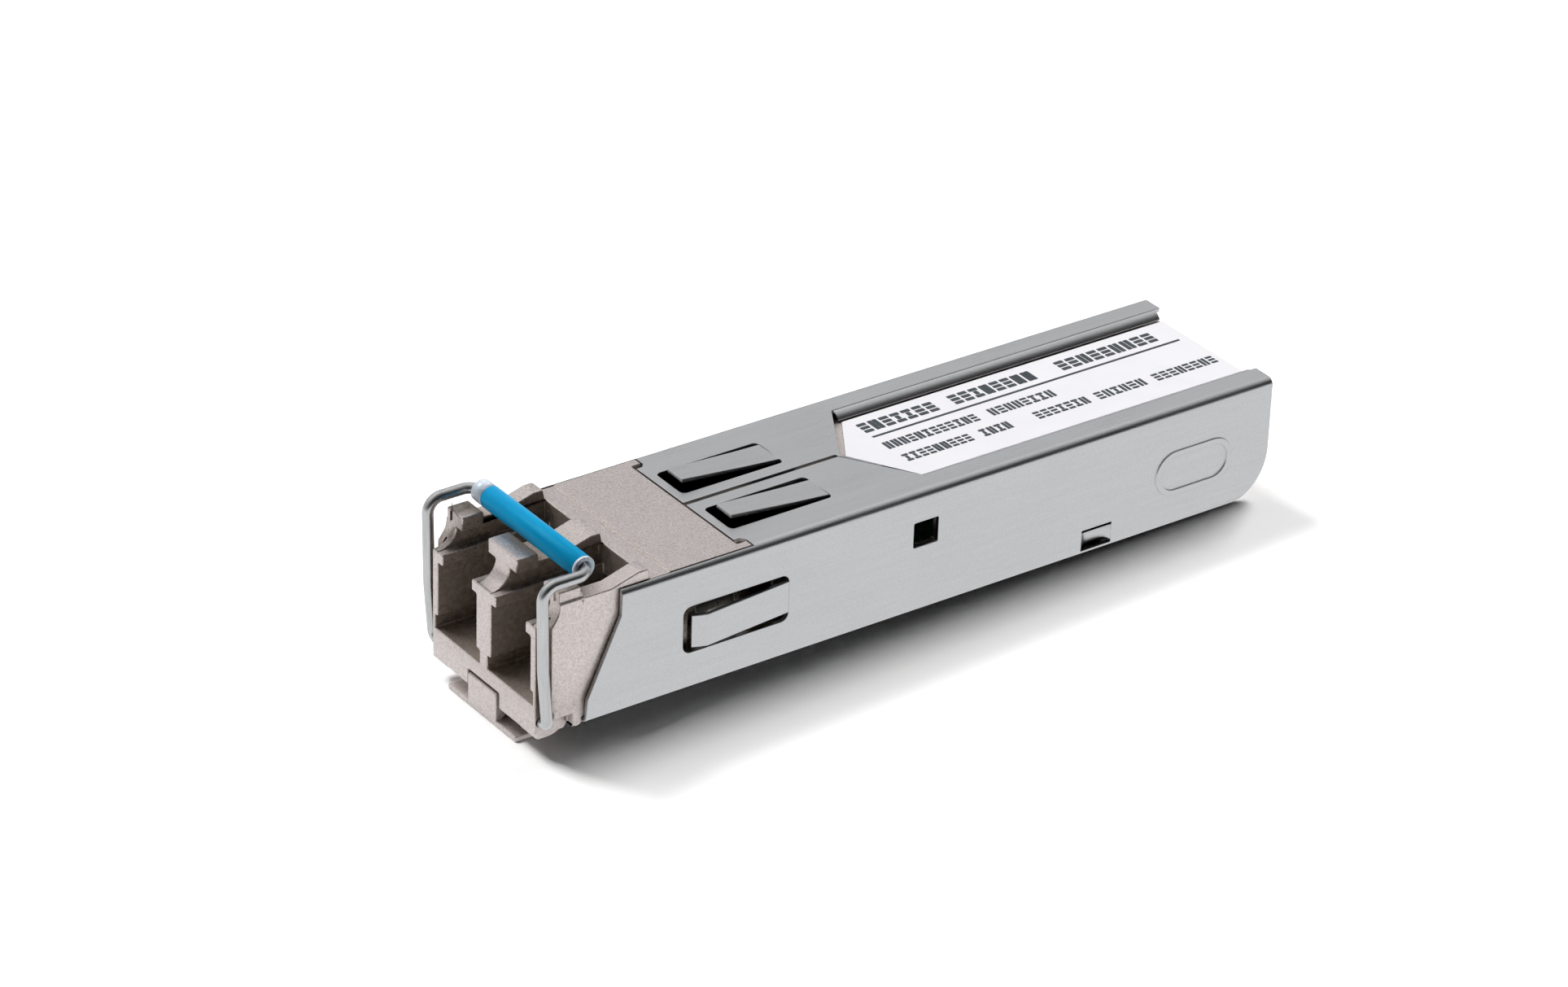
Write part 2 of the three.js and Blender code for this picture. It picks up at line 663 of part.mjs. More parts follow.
const box = new THREE.Box3().setFromObject(module);
module.position.set(-(box.min.x + box.max.x) / 2, 0, -box.min.z);

export default module;
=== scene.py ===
import json
import math
import random

import bmesh
import bpy
from mathutils import Matrix, Vector


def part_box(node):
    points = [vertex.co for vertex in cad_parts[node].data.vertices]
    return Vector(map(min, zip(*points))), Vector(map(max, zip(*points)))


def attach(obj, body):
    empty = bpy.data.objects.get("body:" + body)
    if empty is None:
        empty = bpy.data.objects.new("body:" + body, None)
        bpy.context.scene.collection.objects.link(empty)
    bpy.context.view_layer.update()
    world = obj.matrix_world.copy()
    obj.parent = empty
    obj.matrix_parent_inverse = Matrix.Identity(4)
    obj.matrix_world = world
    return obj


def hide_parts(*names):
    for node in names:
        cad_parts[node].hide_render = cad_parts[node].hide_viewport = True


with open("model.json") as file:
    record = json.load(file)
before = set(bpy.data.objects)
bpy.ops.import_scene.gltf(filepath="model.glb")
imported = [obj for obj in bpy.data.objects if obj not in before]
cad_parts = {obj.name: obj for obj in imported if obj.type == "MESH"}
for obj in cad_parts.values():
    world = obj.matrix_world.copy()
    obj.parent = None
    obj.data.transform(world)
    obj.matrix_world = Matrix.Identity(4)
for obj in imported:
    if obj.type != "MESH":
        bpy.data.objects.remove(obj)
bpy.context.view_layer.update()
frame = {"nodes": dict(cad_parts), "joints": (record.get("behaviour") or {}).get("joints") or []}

nodes = frame["nodes"]
joints = {joint["name"]: joint for joint in frame["joints"]}
mm = 0.001

# Datum of the drawing: nose front face, mid plane, underside of the cover.
datum = Vector((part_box("nose_casting")[0].x, 0.0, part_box("sheet_cover")[0].z))


def at(x, y, z):  # a place in millimetres from the datum, in metres in the frame
    return datum + Vector((x, y, z)) * mm


print("frame loaded:", len(nodes), "nodes")


# camera

cameraSetup = {
    "place": (-157.225, -244.458, 176.303),
    "target": (24.017, 2.642, 5.149),
    "roll": 1.896,  # degrees
    "lens": 128.8,
    "sensor": 36.0,
}


def makeCamera(setup):
    data = bpy.data.cameras.new("camera")
    data.lens = setup["lens"]
    data.sensor_width = setup["sensor"]
    data.sensor_fit = "HORIZONTAL"
    data.clip_start = 0.01
    data.clip_end = 20.0
    camera = bpy.data.objects.new("camera", data)
    bpy.context.scene.collection.objects.link(camera)
    place = at(*setup["place"])
    aim = (at(*setup["target"]) - place).to_track_quat("-Z", "Y").to_matrix()
    roll = Matrix.Rotation(math.radians(setup["roll"]), 3, "Z")
    camera.matrix_world = Matrix.Translation(place) @ (aim @ roll).to_4x4()
    bpy.context.scene.camera = camera


makeCamera(cameraSetup)


# node helpers

def feed(tree, socket, value):
    # A socket takes either a link or a plain value.
    if isinstance(value, bpy.types.NodeSocket):
        tree.links.new(value, socket)
    else:
        socket.default_value = value


def addNode(tree, kind, inputs=None, **settings):
    node = tree.nodes.new("ShaderNode" + kind)
    for name, value in settings.items():
        setattr(node, name, value)
    for name, value in (inputs or {}).items():
        feed(tree, node.inputs[name], value)
    return node


def makeGroup(name, inputs, outputs):
    tree = bpy.data.node_groups.new(name, "ShaderNodeTree")
    for label, kind, value in inputs:
        socket = tree.interface.new_socket(label, in_out="INPUT", socket_type="NodeSocket" + kind)
        if value is not None:
            socket.default_value = value
    for label, kind in outputs:
        tree.interface.new_socket(label, in_out="OUTPUT", socket_type="NodeSocket" + kind)
    return tree, tree.nodes.new("NodeGroupInput").outputs, tree.nodes.new("NodeGroupOutput").inputs


def useGroup(tree, group, inputs):
    node = tree.nodes.new("ShaderNodeGroup")
    node.node_tree = group
    for name, value in inputs.items():
        feed(tree, node.inputs[name], value)
    return node.outputs


def mathNode(tree, operation, a, b=0.0):
    return addNode(tree, "Math", {0: a, 1: b}, operation=operation).outputs[0]


def scaled(tree, value, factor):
    return mathNode(tree, "MULTIPLY", value, factor)


def ramp(tree, value, low, high, outLow=0.0, outHigh=1.0):
    inputs = {"Value": value, "From Min": low, "From Max": high, "To Min": outLow, "To Max": outHigh}
    return addNode(tree, "MapRange", inputs, clamp=True).outputs["Result"]


def blendColour(tree, factor, a, b):
    node = addNode(tree, "Mix", data_type="RGBA")
    for name, value in (("Factor_Float", factor), ("A_Color", a), ("B_Color", b)):
        feed(tree, next(socket for socket in node.inputs if socket.identifier == name), value)
    return next(socket for socket in node.outputs if socket.identifier == "Result_Color")


# shared effects

def makeGrainGroup():
    # Sand-like surface of a casting: fine grain on larger soft lumps, with scattered pits.
    tree, given, result = makeGroup(
        "cast grain",
        [("Vector", "Vector", None), ("Grain", "Float", 7.0), ("Lumps", "Float", 1.2), ("Pits", "Float", 2.2)],
        [("Height", "Float"), ("Speckle", "Float")],
    )
    fine = addNode(tree, "TexNoise", {"Vector": given["Vector"], "Scale": given["Grain"], "Detail": 3.0,
                                      "Roughness": 0.6})
    soft = addNode(tree, "TexNoise", {"Vector": given["Vector"], "Scale": given["Lumps"], "Detail": 2.0})
    cells = addNode(tree, "TexVoronoi", {"Vector": given["Vector"], "Scale": given["Pits"]})
    pits = ramp(tree, cells.outputs["Distance"], 0.05, 0.13, 1.0, 0.0)
    chosen = ramp(tree, addNode(tree, "SeparateColor", {0: cells.outputs["Color"]}).outputs[0], 0.72, 0.8)
    pitting = mathNode(tree, "MULTIPLY", pits, chosen)
    both = mathNode(tree, "ADD", fine.outputs[0], scaled(tree, soft.outputs[0], 1.4))
    tree.links.new(mathNode(tree, "SUBTRACT", both, pitting), result["Height"])
    tree.links.new(ramp(tree, fine.outputs[0], 0.32, 0.68), result["Speckle"])
    return tree


def makeRollingGroup():
    # Faint parallel lines that rolling and drawing leave along a metal's length.
    tree, given, result = makeGroup(
        "rolling lines",
        [("Vector", "Vector", None), ("Stretch", "Vector", (0.03, 1.0, 1.0)), ("Fineness", "Float", 12.0)],
        [("Height", "Float"), ("Streak", "Float")],
    )
    drawn = addNode(tree, "VectorMath", {0: given["Vector"], 1: given["Stretch"]}, operation="MULTIPLY")
    lines = addNode(tree, "TexNoise", {"Vector": drawn.outputs[0], "Scale": given["Fineness"], "Detail": 4.0,
                                       "Roughness": 0.65})
    broad = addNode(tree, "TexNoise", {"Vector": drawn.outputs[0], "Scale": 2.1, "Detail": 2.0})
    height = mathNode(tree, "ADD", lines.outputs[0], scaled(tree, broad.outputs[0], 0.5))
    tree.links.new(height, result["Height"])
    tree.links.new(ramp(tree, height, 0.5, 1.0), result["Streak"])
    return tree


def makeEdgeMaskGroup():
    # Edge mask: where the rounded normal leaves the flat one, broken up by noise.
    tree, given, result = makeGroup(
        "edge mask",
        [("Vector", "Vector", None), ("Radius", "Float", 0.1 * mm), ("Breakup", "Float", 3.0)],
        [("Mask", "Float"), ("Normal", "Vector")],
    )
    rounded = addNode(tree, "Bevel", {"Radius": given["Radius"]}, samples=8)
    tree.links.new(rounded.outputs[0], result["Normal"])
    flat = addNode(tree, "NewGeometry")
    dot = addNode(tree, "VectorMath", {0: rounded.outputs[0], 1: flat.outputs["Normal"]}, operation="DOT_PRODUCT")
    edge = ramp(tree, dot.outputs["Value"], 0.8, 0.995, 1.0, 0.0)
    noise = addNode(tree, "TexNoise", {"Vector": given["Vector"], "Scale": given["Breakup"], "Detail": 4.0})
    tree.links.new(mathNode(tree, "MULTIPLY", edge, ramp(tree, noise.outputs[0], 0.35, 0.6)), result["Mask"])
    return tree


def makeCreviceDirtAndShadeGroup():
    # Corners and gaps, where the surface is duller and darker: an occlusion mask for dirt and painted shade.
    tree, given, result = makeGroup(
        "crevice dirt and painted shade",
        [("Vector", "Vector", None), ("Reach", "Float", 0.6 * mm), ("Shut", "Float", 0.25), ("Open", "Float", 0.9)],
        [("Mask", "Float")],
    )
    shut = addNode(tree, "AmbientOcclusion", {"Distance": given["Reach"]}, samples=6)
    noise = addNode(tree, "TexNoise", {"Vector": given["Vector"], "Scale": 2.5, "Detail": 3.0})
    closed = ramp(tree, shut.outputs["AO"], given["Shut"], given["Open"], 1.0, 0.0)
    patchy = ramp(tree, noise.outputs[0], 0.2, 0.7, 0.5, 1.0)
    tree.links.new(mathNode(tree, "MULTIPLY", closed, patchy), result["Mask"])
    return tree


def makeHandlingGroup():
    # Patches and hairline marks left by handling.
    tree, given, result = makeGroup(
        "handling marks",
        [("Vector", "Vector", None), ("Patch", "Float", 0.22), ("Hairs", "Float", 0.9)],
        [("Patches", "Float"), ("Scratches", "Float")],
    )
    patches = addNode(tree, "TexNoise", {"Vector": given["Vector"], "Scale": given["Patch"], "Detail": 3.0,
                                         "Distortion": 0.6})
    bent = addNode(tree, "TexNoise", {"Vector": given["Vector"], "Scale": given["Hairs"], "Detail": 1.0,
                                      "Distortion": 1.5})
    near = mathNode(tree, "ABSOLUTE", mathNode(tree, "SUBTRACT", bent.outputs[0], 0.5))
    hair = ramp(tree, near, 0.0, 0.0022, 1.0, 0.0)
    gate = addNode(tree, "TexNoise", {"Vector": given["Vector"], "Scale": 0.5, "Detail": 2.0})
    tree.links.new(ramp(tree, patches.outputs[0], 0.3, 0.7), result["Patches"])
    scratches = mathNode(tree, "MULTIPLY", hair, ramp(tree, gate.outputs[0], 0.52, 0.6))
    tree.links.new(scratches, result["Scratches"])
    return tree


grain = makeGrainGroup()
rolling = makeRollingGroup()
edgeMask = makeEdgeMaskGroup()
creviceDirtAndShade = makeCreviceDirtAndShadeGroup()
handling = makeHandlingGroup()
print("shared effects made")


# materials

def startMaterial(name, **constants):
    material = bpy.data.materials.new(name)
    material.use_nodes = True
    tree = material.node_tree
    shader = tree.nodes["Principled BSDF"]
    for socket, value in constants.items():
        shader.inputs[socket.replace("_", " ")].default_value = value
    place = addNode(tree, "TexCoord")
    vector = addNode(tree, "VectorMath", {0: place.outputs["Object"], "Scale": 1.0 / mm}, operation="SCALE")
    return material, tree, shader, vector.outputs[0]


def setBump(tree, shader, height, distance, strength=1.0, normal=None):
    bump = addNode(tree, "Bump", {"Height": height, "Distance": distance, "Strength": strength})
    if normal:
        tree.links.new(normal, bump.inputs["Normal"])
    tree.links.new(bump.outputs[0], shader.inputs["Normal"])


def colour(red, green, blue):
    return (red, green, blue, 1.0)


castingLook = {
    "warm": colour(0.51, 0.455, 0.435),
    "pale": colour(0.735, 0.675, 0.655),
    # edge colour: rubbed wear and painted highlight
    "rubbedAndHighlit": colour(0.93, 0.90, 0.86),
    # corner colour: dirt and painted shade
    "dirtAndShade": colour(0.16, 0.125, 0.10),
    # painted shade colour for the insides of the ports
    "paintedHollowShade": colour(0.20, 0.15, 0.108),
    "roughness": (0.25, 0.29),
    "cast": {"Grain": 8.0, "Lumps": 1.6, "Pits": 1.9},
    "wornAndHighlitShare": 0.8,  # share of the edge colour, rubbed wear and painted highlight, on an edge
    "dirtAndShadeShare": 0.45,  # share of the corner colour, dirt and painted shade, in a corner
    "polish": 0.12,  # roughness that rubbing takes off an edge
    "cornerReach": 0.8,  # mm
    "deepReach": 7.0,  # mm
    "deep": (0.45, 0.82),  # openness of a hollow's inside and of its mouth
    "front": (13.0, 15.0),  # hollows forward of this get painted shade, mm back from the nose's face
    "behind": 0.1,  # share of the painted shade left on those further back
    "lip": (0.7, 1.5),  # hollows above this get painted shade, mm up from the cover's underside
    "hollowMetal": 0.3,  # metallic share deep in a hollow, where the skin is dull
    "bump": 0.012,  # mm
}


def makeCasting(look):
    material, tree, shader, vector = startMaterial("zinc_casting")
    cast = useGroup(tree, grain, {"Vector": vector, **look["cast"]})
    marks = useGroup(tree, handling, {"Vector": vector})
    edges = useGroup(tree, edgeMask, {"Vector": vector, "Radius": 0.12 * mm, "Breakup": 2.4})
    # occlusion mask for corners: dirt and painted shade
    corners = useGroup(tree, creviceDirtAndShade, {"Vector": vector, "Reach": look["cornerReach"] * mm})
    shut, wide = look["deep"]
    # deep occlusion mask: painted shade inside the ports, kept to the front and above the lip
    deep = useGroup(tree, creviceDirtAndShade, {"Vector": vector, "Reach": look["deepReach"] * mm, "Shut": shut, "Open": wide})
    fromDatum = addNode(tree, "VectorMath", {0: vector, 1: datum / mm}, operation="SUBTRACT")
    spot = addNode(tree, "SeparateXYZ", {0: fromDatum.outputs[0]}).outputs
    paintedShade = mathNode(tree, "MULTIPLY", deep["Mask"], ramp(tree, spot["X"], *look["front"], 1.0, look["behind"]))
    paintedShade = mathNode(tree, "MULTIPLY", paintedShade, ramp(tree, spot["Z"], *look["lip"]))
    base = blendColour(tree, cast["Speckle"], look["warm"], look["pale"])
    # edges: rubbed wear and painted highlight
    base = blendColour(tree, scaled(tree, edges["Mask"], look["wornAndHighlitShare"]), base, look["rubbedAndHighlit"])
    # corners: dirt and painted shade
    base = blendColour(tree, scaled(tree, corners["Mask"], look["dirtAndShadeShare"]), base, look["dirtAndShade"])
    # ports: painted shade
    base = blendColour(tree, paintedShade, base, look["paintedHollowShade"])
    tree.links.new(base, shader.inputs["Base Color"])
    tree.links.new(ramp(tree, deep["Mask"], 0.0, 1.0, 1.0, look["hollowMetal"]), shader.inputs["Metallic"])
    rough = ramp(tree, marks["Patches"], 0.0, 1.0, *look["roughness"])
    rough = mathNode(tree, "SUBTRACT", rough, scaled(tree, edges["Mask"], look["polish"]))
    rough = mathNode(tree, "ADD", rough, scaled(tree, cast["Speckle"], 0.08))
    tree.links.new(rough, shader.inputs["Roughness"])
    setBump(tree, shader, cast["Height"], look["bump"] * mm, 0.9, edges["Normal"])
    return material


coverLook = {
    "base": colour(0.475, 0.483, 0.492),
    "streak": colour(0.615, 0.624, 0.63),
    # edge colour: rubbed wear and painted highlight
    "rubbedAndHighlit": colour(0.66, 0.66, 0.655),
    # corner colour: dirt and painted shade
    "dirtAndShade": colour(0.17, 0.15, 0.13),
    "lines": {"Stretch": (0.035, 1.0, 1.0), "Fineness": 9.0},
    "tooth": {"Grain": 14.0, "Lumps": 2.5, "Pits": 0.6},
    "handled": {"Patch": 0.16, "Hairs": 0.6},
    "wornAndHighlitShare": 0.8,
    "dirtAndShadeShare": 0.4,
    "roughness": (0.25, 0.30),
    "bump": 0.0022,  # mm
}


def makeCover(look):
    material, tree, shader, vector = startMaterial("cover_sheet_steel", Metallic=1.0)
    lines = useGroup(tree, rolling, {"Vector": vector, **look["lines"]})
    tooth = useGroup(tree, grain, {"Vector": vector, **look["tooth"]})
    marks = useGroup(tree, handling, {"Vector": vector, **look["handled"]})
    edges = useGroup(tree, edgeMask, {"Vector": vector, "Radius": 0.07 * mm, "Breakup": 1.4})
    corners = useGroup(tree, creviceDirtAndShade, {"Vector": vector, "Reach": 0.5 * mm})
    fleck = mathNode(tree, "ADD", scaled(tree, lines["Streak"], 0.3), scaled(tree, tooth["Speckle"], 0.7))
    base = blendColour(tree, fleck, look["base"], look["streak"])
    # edges: rubbed wear and painted highlight
    base = blendColour(tree, scaled(tree, edges["Mask"], look["wornAndHighlitShare"]), base, look["rubbedAndHighlit"])
    # corners: dirt and painted shade
    base = blendColour(tree, scaled(tree, corners["Mask"], look["dirtAndShadeShare"]), base, look["dirtAndShade"])
    tree.links.new(base, shader.inputs["Base Color"])
    rough = ramp(tree, marks["Patches"], 0.0, 1.0, *look["roughness"])
    rough = mathNode(tree, "ADD", rough, scaled(tree, lines["Streak"], 0.05))
    rough = mathNode(tree, "ADD", rough, scaled(tree, marks["Scratches"], 0.1))
    tree.links.new(rough, shader.inputs["Roughness"])
    height = mathNode(tree, "ADD", scaled(tree, lines["Height"], 0.3), tooth["Speckle"])
    height = mathNode(tree, "SUBTRACT", height, scaled(tree, marks["Scratches"], 0.7))
    setBump(tree, shader, height, look["bump"] * mm, 1.0, edges["Normal"])
    return material


# corners of bare metal: dirt and painted shade from an occlusion mask
metalDirtAndShade = {"colour": colour(0.1, 0.085, 0.07), "share": 0.5, "reach": 0.4}  # reach in mm


def makeBareMetal(name, base, shade, roughness, stretch, fineness=10.0, bump=0.0015):
    # Drawn, turned or plated metal: lines run along the short component of stretch.
    material, tree, shader, vector = startMaterial(name, Metallic=1.0)
    lines = useGroup(tree, rolling, {"Vector": vector, "Stretch": stretch, "Fineness": fineness})
    marks = useGroup(tree, handling, {"Vector": vector, "Patch": 0.5})
    corners = useGroup(tree, creviceDirtAndShade, {"Vector": vector, "Reach": metalDirtAndShade["reach"] * mm})
    surface = blendColour(tree, lines["Streak"], base, shade)
    # corners: dirt and painted shade
    dirtAndShadeShare = scaled(tree, corners["Mask"], metalDirtAndShade["share"])
    surface = blendColour(tree, dirtAndShadeShare, surface, metalDirtAndShade["colour"])
    tree.links.new(surface, shader.inputs["Base Color"])
    rough = ramp(tree, marks["Patches"], 0.0, 1.0, *roughness)
    tree.links.new(rough, shader.inputs["Roughness"])
    setBump(tree, shader, lines["Height"], bump * mm)
    return material


def makePlastic(name, base, shade, roughness, texture=5.0, bump=0.003):
    # Moulded or printed surface: soft colour drift and fine texture.
    material, tree, shader, vector = startMaterial(name)
    skin = useGroup(tree, grain, {"Vector": vector, "Grain": texture, "Lumps": 0.7, "Pits": 0.8})
    marks = useGroup(tree, handling, {"Vector": vector, "Patch": 0.35})
    surface = blendColour(tree, marks["Patches"], base, shade)
    tree.links.new(surface, shader.inputs["Base Color"])
    rough = ramp(tree, skin["Speckle"], 0.0, 1.0, *roughness)
    tree.links.new(rough, shader.inputs["Roughness"])
    setBump(tree, shader, skin["Height"], bump * mm)
    return material


sleeveLook = {
    "blue": colour(0.0, 0.23, 0.42),
    "deep": colour(0.0, 0.17, 0.34),
    "pale": colour(0.005, 0.32, 0.52),
    "bloom": 0.6,  # share of the pale colour on an edge
    "roughness": (0.36, 0.48),
    "depth": 0.3,  # how far light wanders inside, mm
    "bump": 0.004,  # mm
}


def makeSleeveBlue(look):
    # Extruded tube: faint lines along its length and a paler blue on its edges.
    material, tree, shader, vector = startMaterial("sleeve_blue", IOR=1.5)
    shader.inputs["Specular IOR Level"].default_value = 0.08
    shader.inputs["Subsurface Weight"].default_value = 0.12
    shader.inputs["Subsurface Scale"].default_value = look["depth"] * mm
    shader.inputs["Subsurface Radius"].default_value = (0.2, 0.6, 1.0)
    lines = useGroup(tree, rolling, {"Vector": vector, "Stretch": (1.0, 0.05, 1.0), "Fineness": 5.0})
    marks = useGroup(tree, handling, {"Vector": vector, "Patch": 0.5})
    edges = useGroup(tree, edgeMask, {"Vector": vector, "Radius": 0.1 * mm, "Breakup": 1.5})
    surface = blendColour(tree, lines["Streak"], look["blue"], look["deep"])
    surface = blendColour(tree, scaled(tree, edges["Mask"], look["bloom"]), surface, look["pale"])
    tree.links.new(surface, shader.inputs["Base Color"])
    tree.links.new(ramp(tree, marks["Patches"], 0.0, 1.0, *look["roughness"]), shader.inputs["Roughness"])
    setBump(tree, shader, lines["Height"], look["bump"] * mm)
    return material


linerLook = {
    "cloudy": colour(0.60, 0.70, 0.80),
    "clear": colour(0.78, 0.84, 0.90),
    "roughness": (0.16, 0.3),
    "bump": 0.003,  # mm
}


def makeClearTube(look):
    material, tree, shader, vector = startMaterial("liner_clear", IOR=1.46)
    shader.inputs["Transmission Weight"].default_value = 0.45
    lines = useGroup(tree, rolling, {"Vector": vector, "Stretch": (1.0, 0.08, 1.0), "Fineness": 4.0})
    surface = blendColour(tree, lines["Streak"], look["cloudy"], look["clear"])
    tree.links.new(surface, shader.inputs["Base Color"])
    tree.links.new(ramp(tree, lines["Streak"], 0.0, 1.0, *look["roughness"]), shader.inputs["Roughness"])
    setBump(tree, shader, lines["Height"], look["bump"] * mm)
    return material


materials = {
    "casting": makeCasting(castingLook),
    "cover": makeCover(coverLook),
    "wire": makeBareMetal("bail_wire_steel", colour(0.47, 0.48, 0.48), colour(0.60, 0.605, 0.61), (0.24, 0.32),
                          (1.0, 1.0, 0.06)),
    "leaf": makeBareMetal("spring_leaf_steel", colour(0.66, 0.66, 0.67), colour(0.74, 0.74, 0.74), (0.16, 0.24),
                          (0.05, 1.0, 1.0)),
    "stainless": makeBareMetal("turned_stainless", colour(0.55, 0.53, 0.50), colour(0.64, 0.62, 0.58),
                               (0.22, 0.34), (1.0, 0.15, 0.15)),
    "gold": makeBareMetal("gold_plating", colour(0.83, 0.60, 0.26), colour(0.90, 0.68, 0.33), (0.2, 0.32),
                          (0.1, 1.0, 1.0)),
    "solder": makeBareMetal("solder", colour(0.62, 0.62, 0.61), colour(0.72, 0.72, 0.71), (0.22, 0.4),
                            (1.0, 1.0, 1.0), 2.0),
    "blue": makeSleeveBlue(sleeveLook),
    "clear": makeClearTube(linerLook),
    "film": makePlastic("label_film", colour(0.53, 0.525, 0.545), colour(0.51, 0.505, 0.53), (0.45, 0.55),
                        8.0, 0.0015),
    "ink": makePlastic("label_ink", colour(0.016, 0.022, 0.028), colour(0.025, 0.032, 0.04), (0.45, 0.6),
                       9.0, 0.001),
    "mask": makePlastic("solder_mask_green", colour(0.012, 0.115, 0.045), colour(0.02, 0.155, 0.065),
                        (0.25, 0.4), 4.0, 0.002),
    "ceramic": makePlastic("zirconia", colour(0.82, 0.80, 0.76), colour(0.88, 0.86, 0.82), (0.15, 0.25), 6.0, 0.001),
    "chip": makePlastic("chip_moulding", colour(0.012, 0.012, 0.013), colour(0.02, 0.02, 0.022), (0.5, 0.68), 9.0),
    "capTan": makePlastic("capacitor_body", colour(0.35, 0.24, 0.13), colour(0.42, 0.30, 0.17), (0.4, 0.55), 8.0),
    "resistorBlack": makePlastic("resistor_body", colour(0.014, 0.014, 0.016), colour(0.025, 0.025, 0.027),
                                 (0.3, 0.42), 8.0),
    "amber": makePlastic("flex_amber", colour(0.40, 0.15, 0.02), colour(0.48, 0.20, 0.035), (0.28, 0.4), 4.0, 0.002),
    "pad": makePlastic("thermal_pad_grey", colour(0.24, 0.27, 0.30), colour(0.30, 0.33, 0.36), (0.8, 0.92), 5.0,
                       0.02),
    "clip": makePlastic("clip_moulding", colour(0.018, 0.018, 0.02), colour(0.03, 0.03, 0.033), (0.5, 0.62), 7.0,
                        0.008),
}
print("materials made:", len(materials))


# carried-over CAD pieces: rounded edges and their finish

softEdges = {"angle": 28.0, "weld": 0.0005, "flat": 0.3}  # degrees, mm, degrees


def finishNode(name, material, width, segments=2):
    piece = nodes[name]
    piece.data.materials.clear()
    piece.data.materials.append(material)
    for polygon in piece.data.polygons:
        polygon.use_smooth = True
    weld = piece.modifiers.new("weld", "WELD")
    weld.merge_threshold = softEdges["weld"] * mm
    flat = piece.modifiers.new("flat faces", "DECIMATE")
    flat.decimate_type = "DISSOLVE"
    flat.angle_limit = math.radians(softEdges["flat"])
    bevel = piece.modifiers.new("soft edges", "BEVEL")
    bevel.width = width * mm
    bevel.segments = segments
    bevel.limit_method = "ANGLE"
    bevel.angle_limit = math.radians(softEdges["angle"])
    bevel.use_clamp_overlap = False
    bevel.miter_outer = "MITER_ARC"
    shading = piece.modifiers.new("even shading", "WEIGHTED_NORMAL")
    shading.keep_sharp = True


cadFinishes = [  # material, width of the rounded edges in mm, steps across them, nodes
    ("casting", 0.09, 3, ["nose_casting"]),
    ("casting", 0.07, 3, ["latch_lever"]),
    ("casting", 0.06, 2, ["lower_tray"]),
    ("cover", 0.028, 2, ["sheet_cover"]),
    ("film", 0.02, 2, ["label"]),
    ("leaf", 0.02, 2, ["latch_spring"]),
    ("stainless", 0.04, 2, ["latch_pin", "transmitter_receptacle", "receiver_receptacle", "receiver_can"]),
    ("gold", 0.05, 2, ["transmitter_can"]),
    ("ceramic", 0.05, 2, ["transmitter_ferrule_sleeve", "receiver_ferrule_sleeve"]),
    ("amber", 0.02, 2, ["transmitter_flex", "receiver_flex"]),
    ("clip", 0.1, 2, ["optics_clip"]),
    ("mask", 0.04, 2, ["circuit_board"]),
    ("chip", 0.08, 2, ["laser_driver_chip", "receiver_amplifier_chip", "controller_chip"]),
    ("pad", 0.15, 3, ["thermal_pad"]),
    ("capTan", 0.06, 2, [name for name in sorted(nodes) if name.startswith("capacitor")]),
    ("resistorBlack", 0.03, 2, [name for name in sorted(nodes) if name.startswith("resistor")]),
]
for look, width, segments, names in cadFinishes:
    for name in names:
        finishNode(name, materials[look], width, segments)
print("CAD pieces finished")


# mesh helpers

def placeMesh(name, mesh, material, body="housing", smooth=True):
    piece = bpy.data.objects.new(name, mesh)
    bpy.context.scene.collection.objects.link(piece)
    mesh.materials.append(material)
    for polygon in mesh.polygons:
        polygon.use_smooth = smooth
    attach(piece, body)
    return piece


def filletPath(corners, radii, steps=10):
    # A line through the corners, each one turned on an arc of its own radius.
    points = [corners[0]]
    for before, corner, after, radius in zip(corners, corners[1:], corners[2:], radii):
        inward = (before - corner).normalized()
        onward = (after - corner).normalized()
        half = inward.angle(onward) / 2
        reach = radius / math.tan(half)
        centre = corner + (inward + onward).normalized() * (radius / math.sin(half))
        start = corner + inward * reach - centre
        axis = start.cross(corner + onward * reach - centre).normalized()
        turn = math.pi - 2 * half
        for i in range(steps + 1):
            points.append(centre + Matrix.Rotation(turn * i / steps, 3, axis) @ start)
    points.append(corners[-1])
    return points


def sweepRound(build, path, radii, sides=24):
    # Adds a round bar along a path, with a radius at each point, and its end faces closed.
    tangents = [(b - a).normalized() for a, b in zip(path, path[1:])]
    tangents = [tangents[0]] + [(a + b).normalized() for a, b in zip(tangents, tangents[1:])] + [tangents[-1]]
    across = tangents[0].orthogonal().normalized()
    rings = []
    for point, tangent, radius in zip(path, tangents, radii):
        across = (across - tangent * across.dot(tangent)).normalized()
        other = tangent.cross(across)
        ring = []
        for i in range(sides):
            angle = 2 * math.pi * i / sides
            ring.append(build.verts.new(point + (across * math.cos(angle) + other * math.sin(angle)) * radius))
        rings.append(ring)
    for low, high in zip(rings, rings[1:]):
        for i in range(sides):
            j = (i + 1) % sides
            build.faces.new((low[i], low[j], high[j], high[i]))
    build.faces.new(list(reversed(rings[0])))
    build.faces.new(rings[-1])


def toMesh(name, build):
    mesh = bpy.data.meshes.new(name)
    build.to_mesh(mesh)
    build.free()
    return mesh


